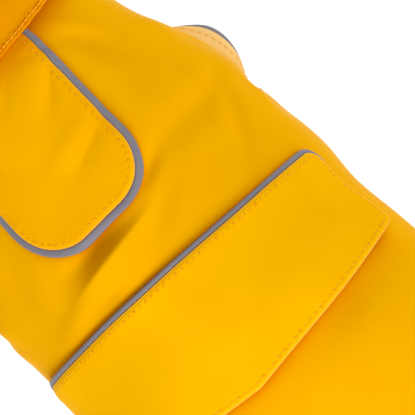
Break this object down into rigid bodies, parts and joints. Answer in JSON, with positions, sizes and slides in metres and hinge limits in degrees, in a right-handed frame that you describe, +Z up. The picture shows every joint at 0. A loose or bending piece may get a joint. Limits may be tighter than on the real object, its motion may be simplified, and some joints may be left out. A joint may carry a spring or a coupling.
{
  "type": "dog raincoat",
  "caption": "Hollow worn dog raincoat: back panel with chest wings, turned-down collar, rounded lead flap, pointed rear flap, reflective piping and a belly strap.",
  "frame": {"origin": "on the underside of the back panel, on the centre back under the rear flap's seam, where the wearer's back carries the coat", "axes": "-X towards the head, +X towards the tail, +Y towards the dog's right side, +Z up"},
  "size_m": [0.3822, 0.1641, 0.1878],
  "materials": {
    "coated_rain_cloth": "smooth bright yellow polyurethane-coated polyester rain cloth with a soft satin sheen",
    "reflective_piping": "flat grey retroreflective piping tape, satin",
    "strap_cloth": "yellow coated cloth folded double, matt",
    "hook_and_loop": "yellow hook tape and loop tape, matt nap"
  },
  "bodies": {
    "root": {"back_panel": "coated_rain_cloth", "collar": "coated_rain_cloth", "lead_flap": "coated_rain_cloth", "lead_flap_piping": "reflective_piping", "rear_flap": "coated_rain_cloth", "rear_flap_piping": "reflective_piping", "hem_piping_right": "reflective_piping", "hem_piping_left": "reflective_piping", "belly_strap": "strap_cloth", "chest_hook_tape": "hook_and_loop", "chest_loop_tape": "hook_and_loop", "strap_hook_tape": "hook_and_loop", "strap_loop_tape": "hook_and_loop"}
  },
  "joints": []
}
